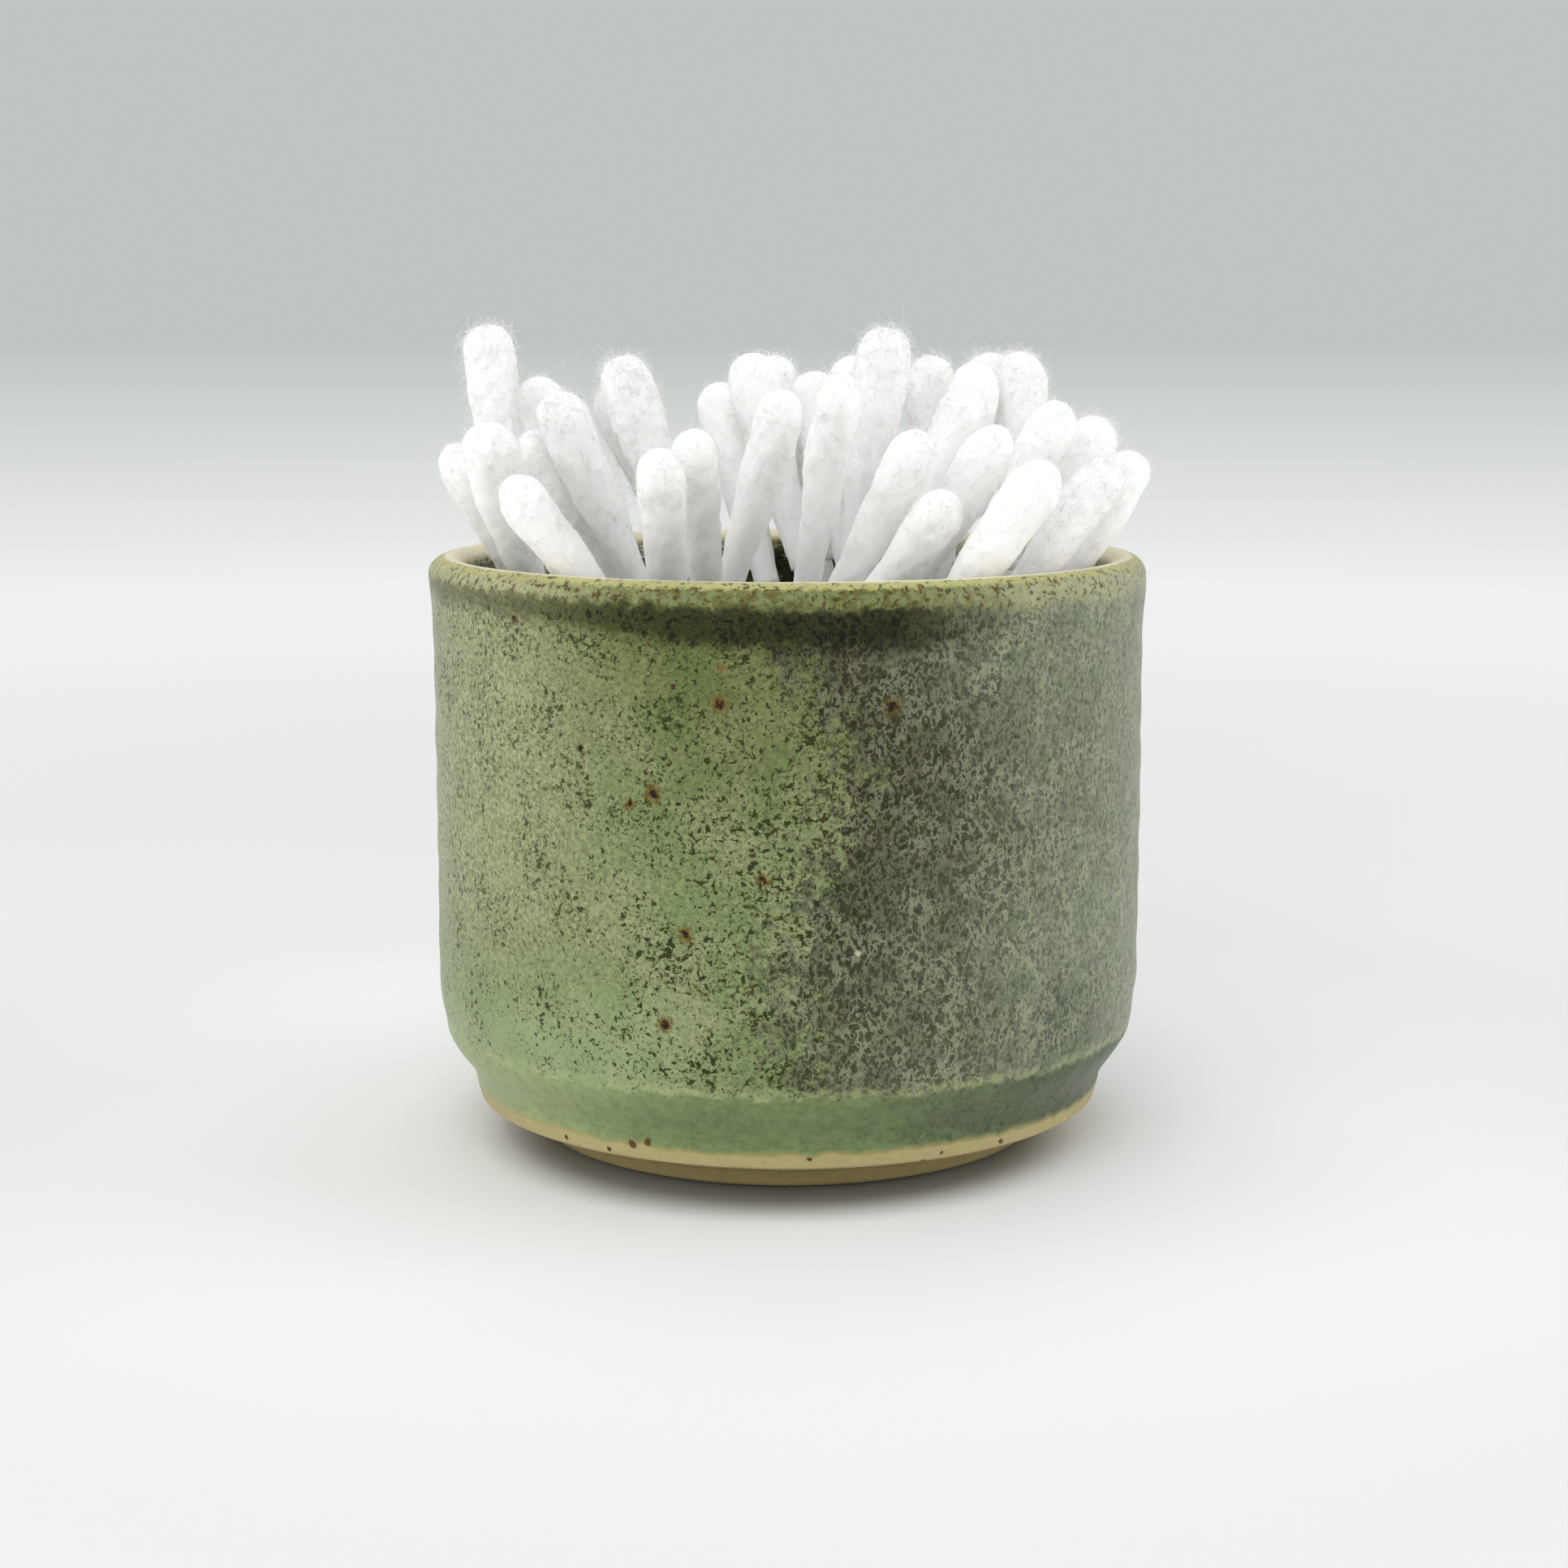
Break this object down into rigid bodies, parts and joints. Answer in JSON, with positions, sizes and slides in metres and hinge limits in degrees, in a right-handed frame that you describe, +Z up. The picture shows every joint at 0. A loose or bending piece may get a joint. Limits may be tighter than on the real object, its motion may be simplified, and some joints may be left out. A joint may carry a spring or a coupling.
{
  "type": "cotton swab holder",
  "caption": "Round stoneware pot with a turned foot ring, a low ridge and a rounded lip, holding a leaning bundle of double-ended cotton swabs that lift out.",
  "frame": {"origin": "centre of the pot's foot ring, on the surface that the pot stands on", "axes": "+Z up along the pot's own axis of turning; -Y towards the side that the picture shows"},
  "size_m": [0.0706, 0.0706, 0.0798],
  "materials": {
    "glazed_stoneware": "satin speckled sage-green glaze over a bare cream foot",
    "rolled_paper": "plain white rolled paper",
    "cotton": "soft wound white cotton"
  },
  "bodies": {
    "pot": {"pot": "glazed_stoneware"},
    "swab_01": {"swab_01_stick": "rolled_paper", "swab_01_lower_bud": "cotton", "swab_01_upper_bud": "cotton"},
    "swab_02": {"swab_02_stick": "rolled_paper", "swab_02_lower_bud": "cotton", "swab_02_upper_bud": "cotton"},
    "swab_03": {"swab_03_stick": "rolled_paper", "swab_03_lower_bud": "cotton", "swab_03_upper_bud": "cotton"},
    "swab_04": {"swab_04_stick": "rolled_paper", "swab_04_lower_bud": "cotton", "swab_04_upper_bud": "cotton"},
    "swab_05": {"swab_05_stick": "rolled_paper", "swab_05_lower_bud": "cotton", "swab_05_upper_bud": "cotton"},
    "swab_06": {"swab_06_stick": "rolled_paper", "swab_06_lower_bud": "cotton", "swab_06_upper_bud": "cotton"},
    "swab_07": {"swab_07_stick": "rolled_paper", "swab_07_lower_bud": "cotton", "swab_07_upper_bud": "cotton"},
    "swab_08": {"swab_08_stick": "rolled_paper", "swab_08_lower_bud": "cotton", "swab_08_upper_bud": "cotton"},
    "swab_09": {"swab_09_stick": "rolled_paper", "swab_09_lower_bud": "cotton", "swab_09_upper_bud": "cotton"},
    "swab_10": {"swab_10_stick": "rolled_paper", "swab_10_lower_bud": "cotton", "swab_10_upper_bud": "cotton"},
    "swab_11": {"swab_11_stick": "rolled_paper", "swab_11_lower_bud": "cotton", "swab_11_upper_bud": "cotton"},
    "swab_12": {"swab_12_stick": "rolled_paper", "swab_12_lower_bud": "cotton", "swab_12_upper_bud": "cotton"},
    "swab_13": {"swab_13": "cotton"},
    "swab_14": {"swab_14": "cotton"},
    "swab_15": {"swab_15": "cotton"},
    "swab_16": {"swab_16": "cotton"},
    "swab_17": {"swab_17": "cotton"},
    "swab_18": {"swab_18": "cotton"},
    "swab_19": {"swab_19": "cotton"},
    "swab_20": {"swab_20": "cotton"},
    "swab_21": {"swab_21": "cotton"},
    "swab_22": {"swab_22": "cotton"},
    "swab_23": {"swab_23": "cotton"},
    "swab_24": {"swab_24": "cotton"},
    "swab_25": {"swab_25": "cotton"},
    "swab_26": {"swab_26": "cotton"},
    "swab_27": {"swab_27": "cotton"},
    "swab_28": {"swab_28": "cotton"},
    "swab_29": {"swab_29": "cotton"},
    "swab_30": {"swab_30": "cotton"},
    "swab_31": {"swab_31": "cotton"},
    "swab_32": {"swab_32": "cotton"},
    "swab_33": {"swab_33": "cotton"},
    "swab_34": {"swab_34": "cotton"}
  },
  "joints": [
    {"name": "swab_01_lift", "type": "slide", "parent": "pot", "child": "swab_01", "axis": [-0.399, -0.3872, 0.8312], "range_m": [0, 0.074]},
    {"name": "swab_02_lift", "type": "slide", "parent": "pot", "child": "swab_02", "axis": [-0.1963, -0.4661, 0.8627], "range_m": [0, 0.074]},
    {"name": "swab_03_lift", "type": "slide", "parent": "pot", "child": "swab_03", "axis": [-0.5714, -0.183, 0.8], "range_m": [0, 0.074]},
    {"name": "swab_04_lift", "type": "slide", "parent": "pot", "child": "swab_04", "axis": [-0.0202, -0.5501, 0.8349], "range_m": [0, 0.074]},
    {"name": "swab_05_lift", "type": "slide", "parent": "pot", "child": "swab_05", "axis": [-0.0591, -0.5113, 0.8574], "range_m": [0, 0.074]},
    {"name": "swab_06_lift", "type": "slide", "parent": "pot", "child": "swab_06", "axis": [0.2675, -0.3296, 0.9054], "range_m": [0, 0.074]},
    {"name": "swab_07_lift", "type": "slide", "parent": "pot", "child": "swab_07", "axis": [0.1551, -0.3405, 0.9274], "range_m": [0, 0.074]},
    {"name": "swab_08_lift", "type": "slide", "parent": "pot", "child": "swab_08", "axis": [0.3961, -0.3278, 0.8577], "range_m": [0, 0.074]},
    {"name": "swab_09_lift", "type": "slide", "parent": "pot", "child": "swab_09", "axis": [0.5228, -0.341, 0.7813], "range_m": [0, 0.074]},
    {"name": "swab_10_lift", "type": "slide", "parent": "pot", "child": "swab_10", "axis": [0.4956, -0.1128, 0.8612], "range_m": [0, 0.074]},
    {"name": "swab_11_lift", "type": "slide", "parent": "pot", "child": "swab_11", "axis": [0.5596, -0.1205, 0.8199], "range_m": [0, 0.074]},
    {"name": "swab_12_lift", "type": "slide", "parent": "pot", "child": "swab_12", "axis": [0.5226, 0.2328, 0.8202], "range_m": [0, 0.074]},
    {"name": "swab_13_lift", "type": "slide", "parent": "pot", "child": "swab_13", "axis": [0.4559, 0.0513, 0.8885], "range_m": [0, 0.074]},
    {"name": "swab_14_lift", "type": "slide", "parent": "pot", "child": "swab_14", "axis": [0.5703, 0.0654, 0.8188], "range_m": [0, 0.074]},
    {"name": "swab_15_lift", "type": "slide", "parent": "pot", "child": "swab_15", "axis": [0.3354, 0.3769, 0.8634], "range_m": [0, 0.074]},
    {"name": "swab_16_lift", "type": "slide", "parent": "pot", "child": "swab_16", "axis": [0.3432, 0.2497, 0.9055], "range_m": [0, 0.074]},
    {"name": "swab_17_lift", "type": "slide", "parent": "pot", "child": "swab_17", "axis": [0.208, 0.268, 0.9407], "range_m": [0, 0.074]},
    {"name": "swab_18_lift", "type": "slide", "parent": "pot", "child": "swab_18", "axis": [0.263, 0.4391, 0.8591], "range_m": [0, 0.074]},
    {"name": "swab_19_lift", "type": "slide", "parent": "pot", "child": "swab_19", "axis": [0.0556, 0.2923, 0.9547], "range_m": [0, 0.074]},
    {"name": "swab_20_lift", "type": "slide", "parent": "pot", "child": "swab_20", "axis": [-0.027, 0.3053, 0.9519], "range_m": [0, 0.074]},
    {"name": "swab_21_lift", "type": "slide", "parent": "pot", "child": "swab_21", "axis": [-0.0581, 0.3147, 0.9474], "range_m": [0, 0.074]},
    {"name": "swab_22_lift", "type": "slide", "parent": "pot", "child": "swab_22", "axis": [-0.1656, 0.2737, 0.9475], "range_m": [0, 0.074]},
    {"name": "swab_23_lift", "type": "slide", "parent": "pot", "child": "swab_23", "axis": [0.1478, -0.0049, 0.989], "range_m": [0, 0.074]},
    {"name": "swab_24_lift", "type": "slide", "parent": "pot", "child": "swab_24", "axis": [-0.0598, 0.3209, 0.9452], "range_m": [0, 0.074]},
    {"name": "swab_25_lift", "type": "slide", "parent": "pot", "child": "swab_25", "axis": [-0.1942, 0.3322, 0.923], "range_m": [0, 0.074]},
    {"name": "swab_26_lift", "type": "slide", "parent": "pot", "child": "swab_26", "axis": [-0.2561, 0.1649, 0.9525], "range_m": [0, 0.074]},
    {"name": "swab_27_lift", "type": "slide", "parent": "pot", "child": "swab_27", "axis": [-0.2556, 0.1943, 0.9471], "range_m": [0, 0.074]},
    {"name": "swab_28_lift", "type": "slide", "parent": "pot", "child": "swab_28", "axis": [-0.2453, 0.3413, 0.9074], "range_m": [0, 0.074]},
    {"name": "swab_29_lift", "type": "slide", "parent": "pot", "child": "swab_29", "axis": [-0.4163, 0.0444, 0.9081], "range_m": [0, 0.074]},
    {"name": "swab_30_lift", "type": "slide", "parent": "pot", "child": "swab_30", "axis": [-0.3143, -0.0322, 0.9488], "range_m": [0, 0.074]},
    {"name": "swab_31_lift", "type": "slide", "parent": "pot", "child": "swab_31", "axis": [-0.3795, -0.2217, 0.8982], "range_m": [0, 0.074]},
    {"name": "swab_32_lift", "type": "slide", "parent": "pot", "child": "swab_32", "axis": [-0.489, -0.2208, 0.8439], "range_m": [0, 0.074]},
    {"name": "swab_33_lift", "type": "slide", "parent": "pot", "child": "swab_33", "axis": [-0.3914, -0.0613, 0.9182], "range_m": [0, 0.074]},
    {"name": "swab_34_lift", "type": "slide", "parent": "pot", "child": "swab_34", "axis": [-0.1095, 0.0402, 0.9932], "range_m": [0, 0.074]}
  ]
}
